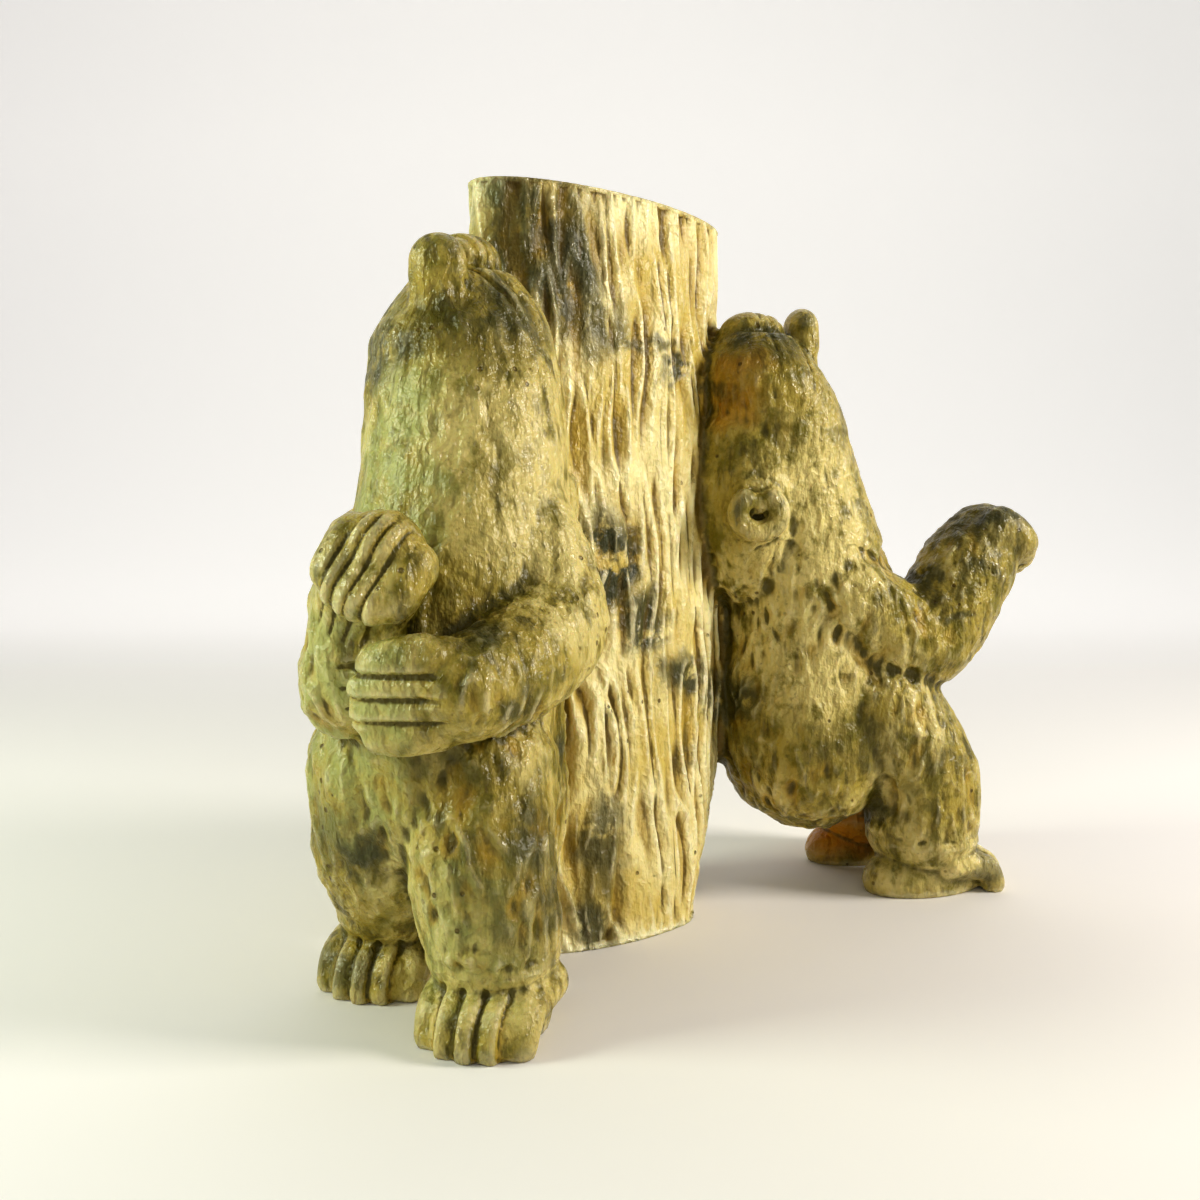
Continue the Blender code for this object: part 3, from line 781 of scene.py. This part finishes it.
upright = spot.moved("MULTIPLY", (1.0, 1.0, 0.6))
chisel = Grain.node("ShaderNodeTexVoronoi", {}, {"Vector": upright, "Scale": 260.0}, 0)
scratches = cloud(1300.0, 2.0, stretch=(1.0, 0.35, 0.25), offset=(0.0, 0.0, 0.4), rough=0.5)
grit = cloud(2600.0, 2.0, offset=(0.0, 0.8, 0.0))
height = tufts * 1.3 + strands * 0.35 + chisel * 0.8 + mottle * 0.6
height = height + scratches * 0.10 + grit * 0.03 - pitted * 0.5
relief = Grain.node("ShaderNodeBump", {}, {"Strength": 1.0, "Distance": RELIEF_HEIGHT, "Height": height})

shine = 0.27 + mottle.ramp(0.3, 0.7) * 0.14 + cut_shade_map * 0.10 - crease.ramp(0.45, 0.2) * 0.12
for socket, value in (("Base Color", colour), ("Roughness", shine), ("Normal", relief)):
    Grain.tree.links.new(value.socket, shader.inputs[socket])
for socket, value in (
    ("Subsurface Weight", 0.18),
    ("Subsurface Radius", (1.0, 0.55, 0.15)),
    ("Subsurface Scale", 0.004),
    ("Coat Weight", 0.10),
    ("Coat Roughness", 0.28),
    ("Specular IOR Level", 0.34),
):
    shader.inputs[socket].default_value = value

skin.materials.clear()
skin.materials.append(soapstone)
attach(carving, "root")
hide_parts("bear_carving")


# The table and the wall behind it: one sheet of white paper that curves up at the back. It glows, more
# the farther off it lies: painted light that brightens the far paper and the wall. Soft boxes light the
# carving from both sides, the left one a little green and the right one a little warm.

PAPER = (0.85, 0.825, 0.815, 1.0)
GLOW = (1.0, 0.99, 0.97, 1.0)
SHEET_WIDTH = 5.0
SHEET_FRONT = -1.6
SHEET_BEND = 0.9
SHEET_RADIUS = 0.7
SHEET_TOP = 3.0
CAMERA_TURN = 48.0
GLOW_WAY = (0.743, 0.669, 0.30)
GLOW_START = 0.15
GLOW_FULL = 1.15
GLOW_STRENGTH = 0.37

paper = bpy.data.materials.new("paper")
paper.use_nodes = True
Grain.tree = paper.node_tree
shader = Grain.tree.nodes["Principled BSDF"]
away = Grain.node("ShaderNodeTexCoord", {}, {}, 3).moved("DOT_PRODUCT", GLOW_WAY, 1)
# Painted light: the paper's glow, from nothing near the carving to full strength far off.
glow = blend((0.0, 0.0, 0.0, 1.0), GLOW, away.ramp(GLOW_START, GLOW_FULL, GLOW_STRENGTH))
Grain.tree.links.new(glow.socket, shader.inputs["Emission Color"])
shader.inputs["Base Color"].default_value = PAPER
shader.inputs["Roughness"].default_value = 0.9
shader.inputs["Emission Strength"].default_value = 1.0

sweep = bmesh.new()
edge = [sweep.verts.new((side * SHEET_WIDTH / 2, SHEET_FRONT, -0.0002)) for side in (-1, 1)]
line = [sweep.edges.new(edge)]


def drawn(line, shift):
    """Draws the sheet's edge on by a shift and gives its new edge."""
    out = bmesh.ops.extrude_edge_only(sweep, edges=line)["geom"]
    bmesh.ops.translate(sweep, verts=[v for v in out if isinstance(v, bmesh.types.BMVert)], vec=shift)
    return [e for e in out if isinstance(e, bmesh.types.BMEdge)]


line = drawn(line, (0, SHEET_BEND - SHEET_FRONT, 0))
for k in range(16):
    before, after = math.radians(90 * k / 16), math.radians(90 * (k + 1) / 16)
    line = drawn(line, (
        0,
        SHEET_RADIUS * (math.sin(after) - math.sin(before)),
        SHEET_RADIUS * (math.cos(before) - math.cos(after)),
    ))
drawn(line, (0, 0, SHEET_TOP))
bmesh.ops.recalc_face_normals(sweep, faces=sweep.faces)
bmesh.ops.rotate(sweep, verts=sweep.verts, matrix=Matrix.Rotation(-math.radians(CAMERA_TURN), 3, "Z"))
sheet = bpy.data.meshes.new("paper_sheet")
sweep.to_mesh(sheet)
sweep.free()
sheet.materials.append(paper)
sheet.shade_smooth()
backdrop = bpy.data.objects.new("paper_sheet", sheet)
bpy.context.scene.collection.objects.link(backdrop)

CAMERA_FROM_TRUNK = (-0.2845, -0.2549, 0.1284)
CAMERA_DROP = 93 / 1200
camera_data = bpy.data.cameras.new("camera")
camera_data.lens = 36.0
camera_data.sensor_width = 36.0
camera_data.clip_start = 0.01
camera = bpy.data.objects.new("camera", camera_data)
camera.location = Vector(shift) + Vector(CAMERA_FROM_TRUNK)
camera.rotation_euler = (math.pi / 2 - math.atan(CAMERA_DROP), 0, -math.radians(CAMERA_TURN))
bpy.context.scene.collection.objects.link(camera)
bpy.context.scene.camera = camera

middle = Vector((0.0, 0.0, 0.10))
for name, place, size, power, tint in (
    ("left_box", (-0.62, 0.42, 0.42), 0.30, 3.9, (0.92, 1.0, 0.80)),
    ("right_box", (0.40, -0.62, 0.46), 0.24, 5.2, (1.0, 0.95, 0.86)),
    ("front_box", (-0.75, -0.55, 0.75), 0.70, 0.8, (0.97, 1.0, 0.95)),
    ("back_box", (0.90, 0.85, 1.60), 1.60, 3.5, (1.0, 0.98, 0.96)),
):
    light = bpy.data.lights.new(name, "AREA")
    light.size = size
    light.energy = power
    light.color = tint
    lamp = bpy.data.objects.new(name, light)
    lamp.location = place
    lamp.rotation_euler = (middle - Vector(place)).to_track_quat("-Z", "Y").to_euler()
    bpy.context.scene.collection.objects.link(lamp)

world = bpy.data.worlds.new("room")
world.use_nodes = True
world.node_tree.nodes["Background"].inputs["Color"].default_value = (0.95, 0.95, 0.93, 1.0)
world.node_tree.nodes["Background"].inputs["Strength"].default_value = 0.20
bpy.context.scene.world = world
bpy.context.scene.view_settings.view_transform = "Standard"
bpy.context.scene.view_settings.look = "Medium High Contrast"
